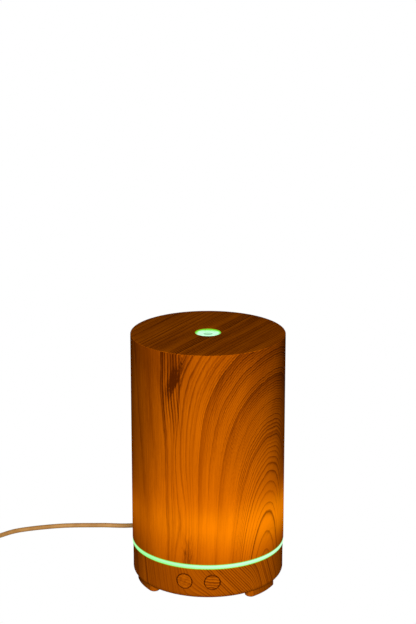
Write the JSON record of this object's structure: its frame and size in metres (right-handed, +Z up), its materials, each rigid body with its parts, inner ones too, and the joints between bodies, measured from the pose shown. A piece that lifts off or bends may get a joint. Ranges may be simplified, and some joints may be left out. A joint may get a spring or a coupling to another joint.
{
  "type": "essential oil diffuser",
  "caption": "Upright cylindrical wood-finish mist diffuser: lift-off cover with a lit outlet, lit ring, low footed base with push buttons, and a plug-in USB lead.",
  "frame": {"origin": "centre of the body's round footprint, at floor level", "axes": "+Z up along the body's axis; the buttons face -Y; the supply lead leaves the rear (+Y) and runs out towards -X"},
  "size_m": [0.2118, 0.1271, 0.1654],
  "materials": {
    "wood_print": "satin wood-grain transfer print over moulded plastic",
    "wood_print_under": "satin dark wood-tone moulded plastic",
    "lit_ring": "translucent diffuser plastic, lit green",
    "tank_plastic": "translucent frosted polypropylene",
    "lid_plastic": "white moulded polypropylene",
    "pad_rubber": "matt anti-slip rubber",
    "silicone": "soft translucent silicone",
    "screw_steel": "zinc-plated steel",
    "contact_metal": "nickel-plated contact metal",
    "piezo_brass": "brass-backed piezo disc",
    "copper_winding": "enamelled copper winding",
    "sink_aluminium": "extruded aluminium",
    "black_plastic": "matt black moulded plastic",
    "board_green": "solder-masked circuit board",
    "led_lens": "clear emitter lens",
    "white_plastic": "white moulded plastic",
    "lead_tan": "satin tan cable sheath",
    "wire_red": "red wire insulation",
    "wire_white": "white wire insulation",
    "wire_black": "black wire insulation",
    "wire_blue": "blue wire insulation"
  },
  "bodies": {
    "base": {"base_shell": "wood_print", "bottom_cover": "wood_print_under", "foot_pads": "pad_rubber", "bottom_screws": "screw_steel", "light_ring": "lit_ring", "water_tank": "tank_plastic", "tank_screws": "screw_steel", "transducer_disc": "piezo_brass", "transducer_seal": "silicone", "transducer_clamp": "screw_steel", "transducer_screws": "screw_steel", "fan_frame": "black_plastic", "fan_stator": "copper_winding", "fan_screws": "screw_steel", "air_duct": "lid_plastic", "duct_gasket": "silicone", "main_board": "board_green", "board_screws": "screw_steel", "heat_sink": "sink_aluminium", "drive_transistor": "black_plastic", "step_up_coil": "copper_winding", "capacitors": "black_plastic", "controller_chip": "black_plastic", "led_board": "board_green", "leds": "led_lens", "button_board": "board_green", "switch_bodies": "black_plastic", "dc_jack": "black_plastic", "jack_pin": "contact_metal", "fan_wires": "wire_red", "transducer_wires": "wire_white", "led_wires": "wire_black", "button_wires": "wire_blue"},
    "fan": {"fan_rotor": "black_plastic", "fan_shaft": "screw_steel"},
    "cover": {"top_cover": "wood_print", "mist_outlet": "lit_ring"},
    "lid": {"inner_lid": "lid_plastic", "chimney_seal": "silicone"},
    "light_key": {"light_button": "wood_print", "light_switch_plunger": "white_plastic"},
    "mist_key": {"mist_button": "wood_print", "mist_switch_plunger": "white_plastic"},
    "lead": {"plug_body": "lead_tan", "plug_barrel": "contact_metal", "power_lead": "lead_tan", "usb_plug_body": "lead_tan", "usb_shell": "contact_metal", "usb_tongue": "white_plastic"}
  },
  "joints": [
    {"name": "cover_lift", "type": "slide", "parent": "base", "child": "cover", "axis": [0, 0, 1], "range_m": [0, 0.14]},
    {"name": "lid_lift", "type": "slide", "parent": "base", "child": "lid", "axis": [0, 0, 1], "range_m": [0, 0.063]},
    {"name": "light_button_press", "type": "slide", "parent": "base", "child": "light_key", "axis": [0, 1, 0], "range_m": [0, 0.0008], "stiffness_N_per_m": 100},
    {"name": "mist_button_press", "type": "slide", "parent": "base", "child": "mist_key", "axis": [0, 1, 0], "range_m": [0, 0.0008], "stiffness_N_per_m": 100},
    {"name": "fan_spin", "type": "hinge", "parent": "base", "child": "fan", "pos_m": [0, 0.014, 0.015], "axis": [0, 0, 1], "continuous": true},
    {"name": "plug_pull", "type": "slide", "parent": "base", "child": "lead", "axis": [0, 1, 0], "range_m": [0, 0.02]}
  ],
  "couplings": [
    {"joint": "lid_lift", "follows": "cover_lift", "ratio": 0.45}
  ]
}
